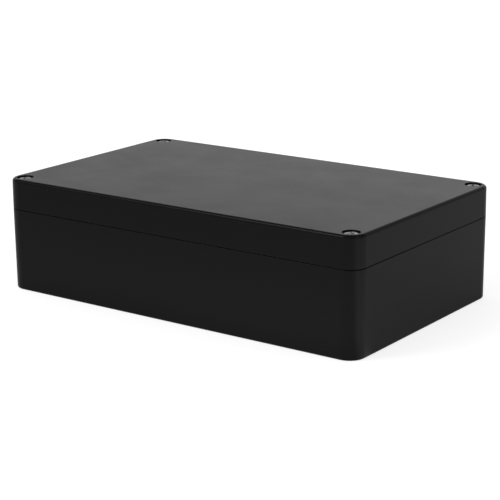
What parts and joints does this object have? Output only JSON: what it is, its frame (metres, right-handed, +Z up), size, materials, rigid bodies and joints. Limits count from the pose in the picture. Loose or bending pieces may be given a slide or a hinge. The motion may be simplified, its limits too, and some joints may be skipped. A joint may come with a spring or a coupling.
{
  "type": "project box",
  "caption": "Black moulded plastic enclosure with a deep base, a shallow screw-down lid, a gasket, captive corner screws, wall-fixing wells and board bosses.",
  "frame": {"origin": "centre of the underside, on the surface that the box stands on", "axes": "+Z up through the lid, +X along the length, +Y across the width"},
  "size_m": [0.2, 0.12, 0.055],
  "materials": {
    "housing": "black moulded ABS with a fine satin grain",
    "seal": "dark grey sealing strip",
    "screw": "bright steel, domed head with a cross recess",
    "retainer": "natural nylon",
    "insert": "plain turned brass"
  },
  "bodies": {
    "base": {"base": "housing", "thread_insert_1": "insert", "thread_insert_2": "insert", "thread_insert_3": "insert", "thread_insert_4": "insert"},
    "lid": {"lid": "housing", "gasket": "seal"},
    "retainer_1": {"retaining_washer_1": "retainer"},
    "screw_1": {"lid_screw_1": "screw"},
    "retainer_2": {"retaining_washer_2": "retainer"},
    "screw_2": {"lid_screw_2": "screw"},
    "retainer_3": {"retaining_washer_3": "retainer"},
    "screw_3": {"lid_screw_3": "screw"},
    "retainer_4": {"retaining_washer_4": "retainer"},
    "screw_4": {"lid_screw_4": "screw"}
  },
  "joints": [
    {"name": "lid_lift", "type": "slide", "parent": "base", "child": "lid", "axis": [0, 0, 1], "range_m": [0, 0.09]},
    {"name": "screw_1_rise", "type": "slide", "parent": "lid", "child": "retainer_1", "axis": [0, 0, 1], "range_m": [0, 0.0049]},
    {"name": "screw_1_turn", "type": "hinge", "parent": "retainer_1", "child": "screw_1", "pos_m": [-0.0932, -0.0532, 0.0538], "axis": [0, 0, 1], "range_deg": [0, 2520]},
    {"name": "screw_2_rise", "type": "slide", "parent": "lid", "child": "retainer_2", "axis": [0, 0, 1], "range_m": [0, 0.0049]},
    {"name": "screw_2_turn", "type": "hinge", "parent": "retainer_2", "child": "screw_2", "pos_m": [0.0932, -0.0532, 0.0538], "axis": [0, 0, 1], "range_deg": [0, 2520]},
    {"name": "screw_3_rise", "type": "slide", "parent": "lid", "child": "retainer_3", "axis": [0, 0, 1], "range_m": [0, 0.0049]},
    {"name": "screw_3_turn", "type": "hinge", "parent": "retainer_3", "child": "screw_3", "pos_m": [0.0932, 0.0532, 0.0538], "axis": [0, 0, 1], "range_deg": [0, 2520]},
    {"name": "screw_4_rise", "type": "slide", "parent": "lid", "child": "retainer_4", "axis": [0, 0, 1], "range_m": [0, 0.0049]},
    {"name": "screw_4_turn", "type": "hinge", "parent": "retainer_4", "child": "screw_4", "pos_m": [-0.0932, 0.0532, 0.0538], "axis": [0, 0, 1], "range_deg": [0, 2520]}
  ],
  "couplings": [
    {"joint": "screw_1_turn", "follows": "screw_1_rise", "rad_per_m": 8976},
    {"joint": "screw_2_turn", "follows": "screw_2_rise", "rad_per_m": 8976},
    {"joint": "screw_3_turn", "follows": "screw_3_rise", "rad_per_m": 8976},
    {"joint": "screw_4_turn", "follows": "screw_4_rise", "rad_per_m": 8976}
  ]
}
